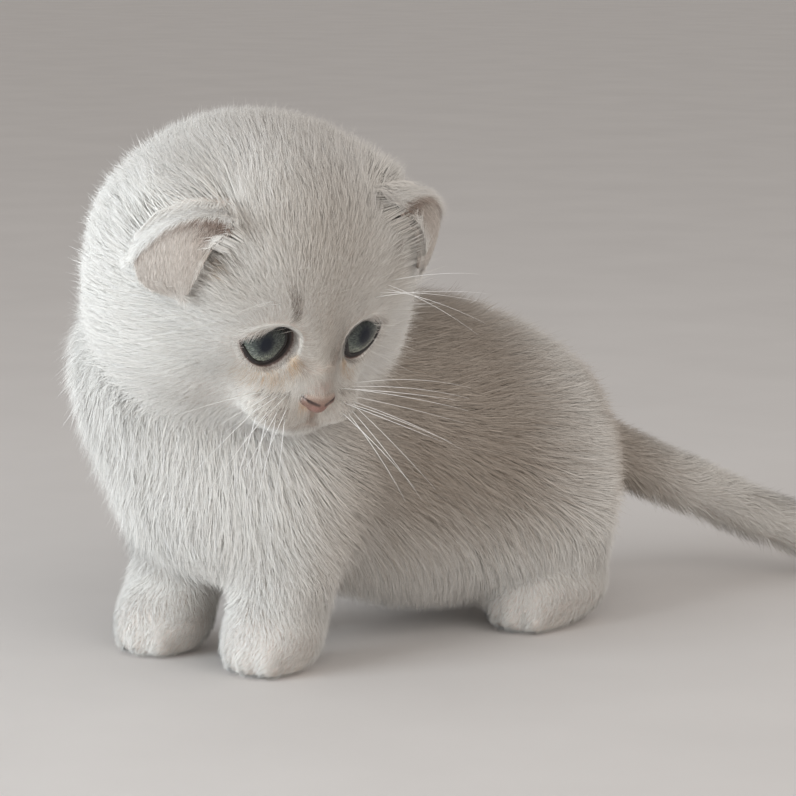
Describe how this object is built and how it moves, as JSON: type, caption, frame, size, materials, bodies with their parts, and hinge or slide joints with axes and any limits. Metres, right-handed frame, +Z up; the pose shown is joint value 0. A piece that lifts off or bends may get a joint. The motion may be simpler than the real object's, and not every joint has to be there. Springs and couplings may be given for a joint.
{
  "type": "scottish fold kitten",
  "caption": "Still, life-size kitten with folded ears, standing, its round head turned to its left and tipped down, its tail low behind it.",
  "frame": {"origin": "middle of the box round the kitten, at floor level", "axes": "+Z up, the chest faces -Y and the tail +Y, the kitten's left side is +X"},
  "size_m": [0.1068, 0.2718, 0.1485],
  "materials": {
    "coat": "matte",
    "ear_coat": "matte",
    "nose_leather": "satin",
    "eye": "glossy"
  },
  "bodies": {
    "root": {"head": "coat", "nose": "nose_leather", "ear_left": "ear_coat", "ear_right": "ear_coat", "eye_left": "eye", "eye_right": "eye", "neck": "coat", "torso": "coat", "tail_root": "coat", "tail_middle": "coat", "tail_tip": "coat", "foreleg_left": "coat", "forepaw_left": "coat", "foreleg_right": "coat", "forepaw_right": "coat", "hindleg_left": "coat", "hindpaw_left": "coat", "hindleg_right": "coat", "hindpaw_right": "coat"}
  },
  "joints": []
}
